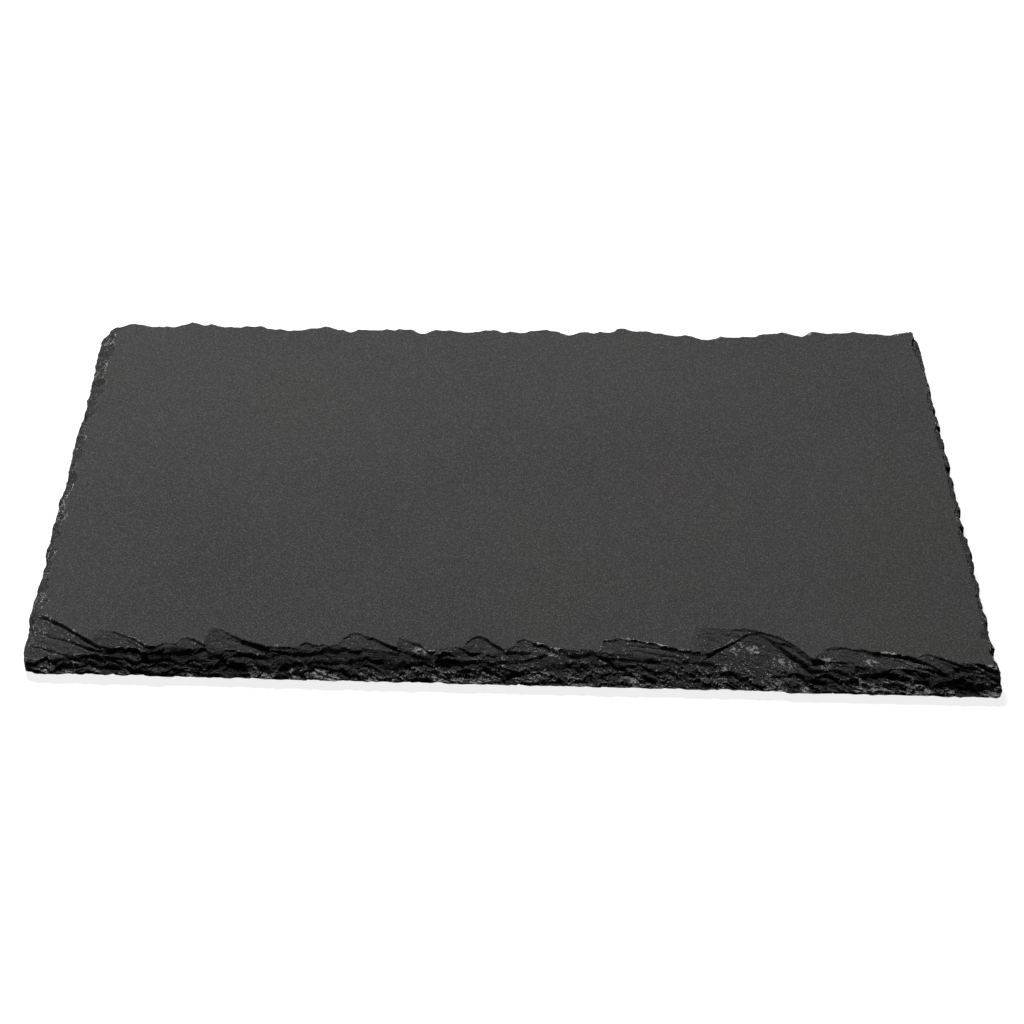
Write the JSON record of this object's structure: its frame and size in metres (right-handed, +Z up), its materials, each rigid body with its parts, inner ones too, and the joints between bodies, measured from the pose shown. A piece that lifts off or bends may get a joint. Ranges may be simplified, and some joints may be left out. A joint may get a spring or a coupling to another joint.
{
  "type": "slate serving board",
  "caption": "Oblong slab of riven dark slate with hand-chipped, stepped edges, standing on round rubber feet, for serving food at the table.",
  "frame": {"origin": "under the middle of the board, on the plane that its feet stand on", "axes": "+X along the board's long side, +Y towards its back edge, +Z up out of the serving face"},
  "size_m": [0.3, 0.2023, 0.009],
  "materials": {
    "slate": "matt, riven",
    "rubber": "moulded, matt",
    "adhesive": "dull"
  },
  "bodies": {
    "root": {"slate_slab": "slate", "foot_front_left": "rubber", "adhesive_front_left": "adhesive", "foot_front_right": "rubber", "adhesive_front_right": "adhesive", "foot_back_right": "rubber", "adhesive_back_right": "adhesive", "foot_back_left": "rubber", "adhesive_back_left": "adhesive"}
  },
  "joints": []
}
